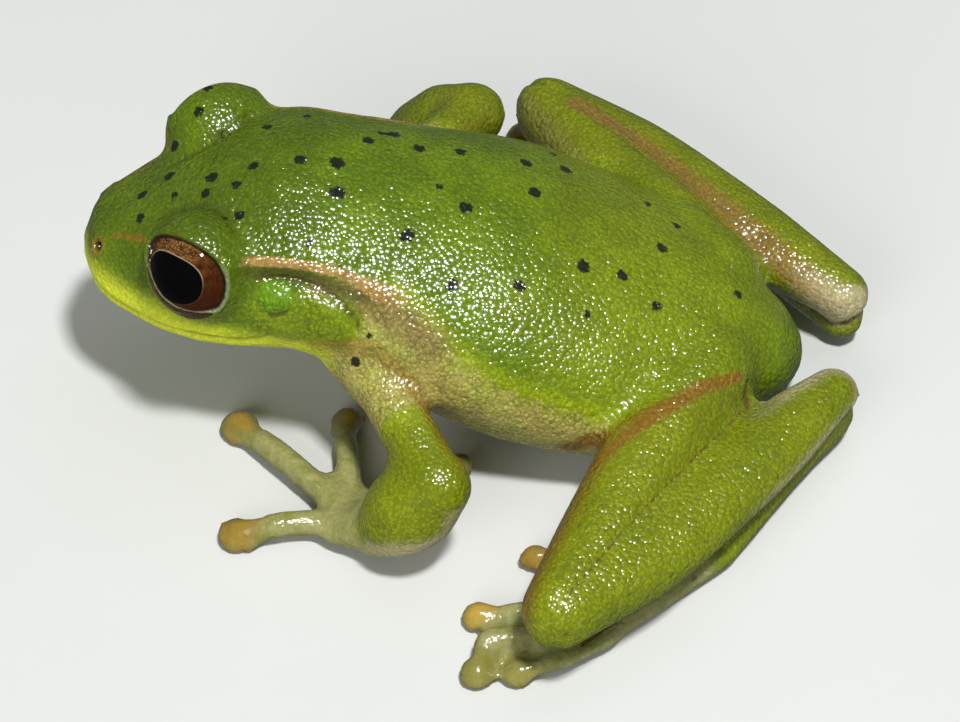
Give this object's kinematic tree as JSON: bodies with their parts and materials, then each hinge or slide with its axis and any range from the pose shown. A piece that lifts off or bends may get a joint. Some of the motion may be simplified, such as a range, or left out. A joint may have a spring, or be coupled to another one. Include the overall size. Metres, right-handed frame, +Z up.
{
  "type": "tree frog model",
  "caption": "Still life-size model of a small green tree frog, sitting with head raised, arms bent and hind legs folded, toe discs flat on the floor.",
  "frame": {"origin": "on the floor, under the middle of the frog's box", "axes": "-X towards the snout, +Y towards the frog's right side, +Z up"},
  "size_m": [0.0426, 0.0422, 0.016],
  "materials": {
    "green_skin": "wet, finely grained skin, yellow-green with small black spots",
    "digit_skin": "wet, smooth, slightly see-through tan skin",
    "eye": "wet and mirror-smooth, black pupil in a dark copper iris"
  },
  "bodies": {
    "root": {"head": "green_skin", "trunk": "green_skin", "eye_left": "eye", "eye_right": "eye", "upper_arm_left": "green_skin", "forearm_left": "green_skin", "hand_left": "digit_skin", "finger_1_left": "digit_skin", "finger_2_left": "digit_skin", "finger_3_left": "digit_skin", "finger_4_left": "digit_skin", "thigh_left": "green_skin", "shank_left": "green_skin", "tarsus_left": "green_skin", "foot_left": "digit_skin", "toe_1_left": "digit_skin", "toe_2_left": "digit_skin", "toe_3_left": "digit_skin", "toe_4_left": "digit_skin", "toe_5_left": "digit_skin", "upper_arm_right": "green_skin", "forearm_right": "green_skin", "hand_right": "digit_skin", "finger_1_right": "digit_skin", "finger_2_right": "digit_skin", "finger_3_right": "digit_skin", "finger_4_right": "digit_skin", "thigh_right": "green_skin", "shank_right": "green_skin", "tarsus_right": "green_skin", "foot_right": "digit_skin", "toe_1_right": "digit_skin", "toe_2_right": "digit_skin", "toe_3_right": "digit_skin", "toe_4_right": "digit_skin", "toe_5_right": "digit_skin"}
  },
  "joints": []
}
